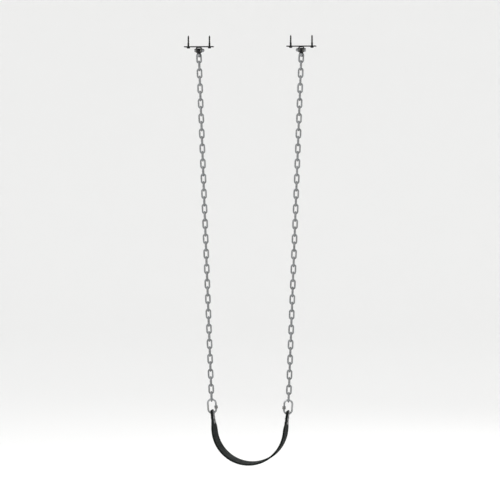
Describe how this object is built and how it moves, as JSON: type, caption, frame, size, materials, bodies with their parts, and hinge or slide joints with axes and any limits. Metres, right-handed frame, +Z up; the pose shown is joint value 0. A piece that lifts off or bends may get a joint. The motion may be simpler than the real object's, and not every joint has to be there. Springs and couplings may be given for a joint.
{
  "type": "belt swing seat",
  "caption": "Belt swing seat: a moulded belt with reinforced eyes hangs on quick links and welded chains from swing hangers that screw up into a beam.",
  "frame": {"origin": "midway between the two hangers, in the plane of the beam's underside that both hanger plates bear on", "axes": "+X along the beam, +Y the way the swing travels (the bolt heads of the clevises face -Y), +Z up into the beam"},
  "size_m": [0.5716, 0.133, 1.8462],
  "materials": {
    "black_coat": "satin",
    "zinc": "satin",
    "galvanised": "matt",
    "bright_steel": "satin",
    "nylon": "matt",
    "belt_rubber": "matt",
    "woven_core": "matt"
  },
  "bodies": {
    "hangers": {"hanger_plate_left": "black_coat", "hanger_yoke_left": "black_coat", "lag_screws_left": "black_coat", "pivot_bolt_left": "zinc", "pivot_nut_left": "zinc", "pivot_washers_left": "zinc", "hanger_plate_right": "black_coat", "hanger_yoke_right": "black_coat", "lag_screws_right": "black_coat", "pivot_bolt_right": "zinc", "pivot_nut_right": "zinc", "pivot_washers_right": "zinc"},
    "pendulum_left": {"pendulum_left": "black_coat", "pivot_bushes_left": "nylon", "clevis_bolt_left": "zinc", "clevis_nut_left": "zinc"},
    "chain_left": {"chain_left": "galvanised"},
    "ring_left": {"quick_link_left": "bright_steel"},
    "sleeve_left": {"quick_sleeve_left": "bright_steel"},
    "pendulum_right": {"pendulum_right": "black_coat", "pivot_bushes_right": "nylon", "clevis_bolt_right": "zinc", "clevis_nut_right": "zinc"},
    "chain_right": {"chain_right": "galvanised"},
    "ring_right": {"quick_link_right": "bright_steel"},
    "sleeve_right": {"quick_sleeve_right": "bright_steel"},
    "seat": {"belt": "belt_rubber", "belt_core": "woven_core", "outer_end_plate_left": "black_coat", "inner_end_plate_left": "black_coat", "grommet_left": "zinc", "end_rivets_left": "zinc", "outer_end_plate_right": "black_coat", "inner_end_plate_right": "black_coat", "grommet_right": "zinc", "end_rivets_right": "zinc"}
  },
  "joints": [
    {"name": "swing_left", "type": "hinge", "parent": "hangers", "child": "pendulum_left", "pos_m": [-0.22225, 0, -0.01806], "axis": [1, 0, 0], "range_deg": [-60, 60]},
    {"name": "sway_left", "type": "hinge", "parent": "pendulum_left", "child": "chain_left", "pos_m": [-0.22225, 0, -0.03977], "axis": [0, 1, 0], "range_deg": [-8, 8]},
    {"name": "ring_turn_left", "type": "hinge", "parent": "chain_left", "child": "ring_left", "pos_m": [-0.16725, 0, -1.52865], "axis": [0, 1, 0], "range_deg": [-11, 11]},
    {"name": "sleeve_travel_left", "type": "slide", "parent": "ring_left", "child": "sleeve_left", "axis": [-0.0698, 0, 0.9976], "range_m": [0, 0.01]},
    {"name": "swing_right", "type": "hinge", "parent": "hangers", "child": "pendulum_right", "pos_m": [0.22225, 0, -0.01806], "axis": [1, 0, 0], "range_deg": [-60, 60]},
    {"name": "sway_right", "type": "hinge", "parent": "pendulum_right", "child": "chain_right", "pos_m": [0.22225, 0, -0.03977], "axis": [0, 1, 0], "range_deg": [-8, 8]},
    {"name": "ring_turn_right", "type": "hinge", "parent": "chain_right", "child": "ring_right", "pos_m": [0.16725, 0, -1.52865], "axis": [0, 1, 0], "range_deg": [-11, 11]},
    {"name": "sleeve_travel_right", "type": "slide", "parent": "ring_right", "child": "sleeve_right", "axis": [0.0698, 0, 0.9976], "range_m": [0, 0.01]},
    {"name": "seat_pitch", "type": "hinge", "parent": "ring_left", "child": "seat", "pos_m": [-0.16359, 0, -1.58088], "axis": [1, 0, 0], "range_deg": [-40, 40]}
  ],
  "couplings": [
    {"joint": "swing_right", "follows": "swing_left", "ratio": 1},
    {"joint": "sway_right", "follows": "sway_left", "ratio": 1},
    {"joint": "ring_turn_left", "follows": "sway_left", "ratio": -1.3289},
    {"joint": "ring_turn_right", "follows": "sway_left", "ratio": -1.3289}
  ]
}
